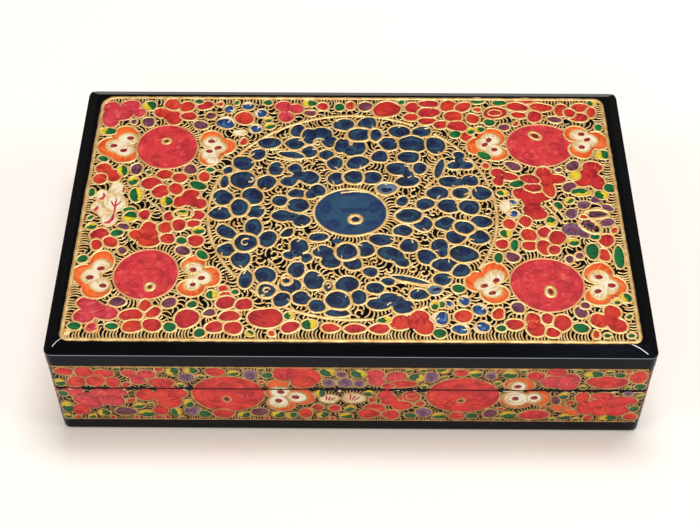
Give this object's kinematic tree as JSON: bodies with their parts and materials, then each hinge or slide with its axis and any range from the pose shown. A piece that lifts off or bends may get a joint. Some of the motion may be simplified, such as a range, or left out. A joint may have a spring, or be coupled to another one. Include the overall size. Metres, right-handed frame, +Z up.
{
  "type": "papier mache box",
  "caption": "Flat rectangular papier mache box with a bevelled black top and a painted flower and leaf pattern in gold outline; its lid is hinged at the back.",
  "frame": {"origin": "centre of the flat underside of the bottom board, on the surface that the box stands on", "axes": "+X along the length to the right, +Y to the hinged back, +Z up"},
  "size_m": [0.203, 0.1291, 0.046],
  "materials": {
    "black_lacquer": "gloss black lacquer over pressed paper pulp",
    "painted_wall": "black lacquer with painted flowers under clear varnish",
    "hinge_brass": "polished, slightly dull",
    "gold_outline": "raised gold paint lines under clear varnish",
    "painted_flowers": "flowers, leaves and berries in red, pink, orange, cream, blue, green, yellow and plum paint under clear varnish"
  },
  "bodies": {
    "base": {"bottom_board": "black_lacquer", "base_front_wall": "painted_wall", "base_back_wall": "painted_wall", "base_left_wall": "painted_wall", "base_right_wall": "painted_wall", "left_hinge_base_leaf": "hinge_brass", "right_hinge_base_leaf": "hinge_brass", "left_hinge_pin": "hinge_brass", "right_hinge_pin": "hinge_brass", "base_hinge_nails": "hinge_brass"},
    "lid": {"lid_cap_board": "black_lacquer", "lid_front_wall": "painted_wall", "lid_back_wall": "painted_wall", "lid_left_wall": "painted_wall", "lid_right_wall": "painted_wall", "left_hinge_lid_leaf": "hinge_brass", "right_hinge_lid_leaf": "hinge_brass", "lid_hinge_nails": "hinge_brass"}
  },
  "joints": [
    {"name": "lid_hinge", "type": "hinge", "parent": "base", "child": "lid", "pos_m": [0, 0.0646, 0.025], "axis": [-1, 0, 0], "range_deg": [0, 180]}
  ]
}
